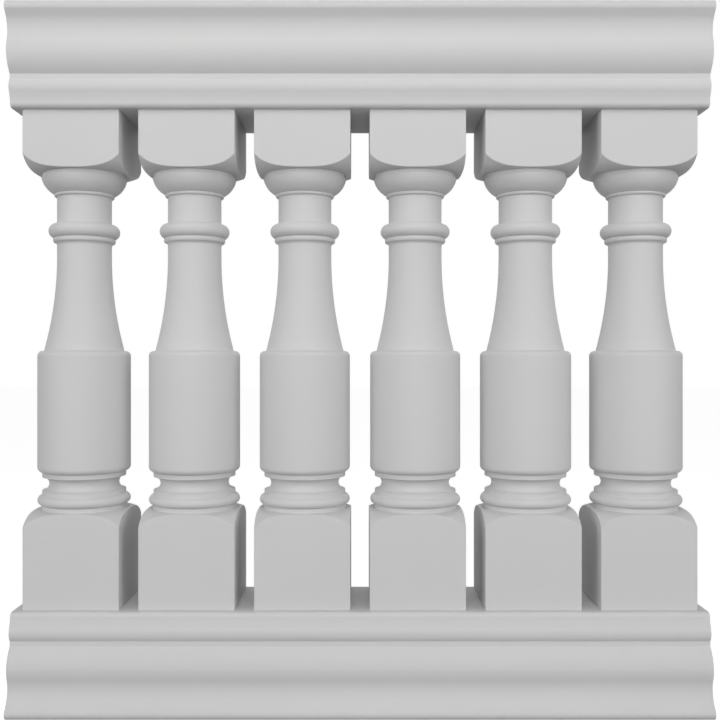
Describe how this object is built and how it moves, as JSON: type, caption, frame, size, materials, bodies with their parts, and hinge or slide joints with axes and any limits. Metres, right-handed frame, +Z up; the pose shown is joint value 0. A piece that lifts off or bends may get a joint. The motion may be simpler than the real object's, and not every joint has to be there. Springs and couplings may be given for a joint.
{
  "type": "fiberglass balustrade panel",
  "caption": "Straight balustrade panel: turned balusters with square blocks between a moulded top rail and a matching bottom rail turned upside down.",
  "frame": {"origin": "middle of the flat base of the bottom rail, on the floor", "axes": "+X along the rails to the right, +Y to the back so that the front faces -Y, +Z up"},
  "size_m": [0.9144, 0.1906, 0.9271],
  "materials": {
    "baluster_gelcoat": "moulded glass fibre with a plain pale grey satin gelcoat",
    "rail_gelcoat": "moulded glass fibre with a plain pale grey satin gelcoat",
    "panel_gelcoat": "flat glass fibre panel with a plain pale grey satin gelcoat"
  },
  "bodies": {
    "root": {"bottom_rail_shell": "rail_gelcoat", "bottom_rail_deck": "panel_gelcoat", "bottom_rail_end_left": "panel_gelcoat", "bottom_rail_end_right": "panel_gelcoat", "baluster_1": "baluster_gelcoat", "baluster_2": "baluster_gelcoat", "baluster_3": "baluster_gelcoat", "baluster_4": "baluster_gelcoat", "baluster_5": "baluster_gelcoat", "baluster_6": "baluster_gelcoat", "top_rail_shell": "rail_gelcoat", "top_rail_soffit": "panel_gelcoat", "top_rail_end_left": "panel_gelcoat", "top_rail_end_right": "panel_gelcoat"}
  },
  "joints": []
}
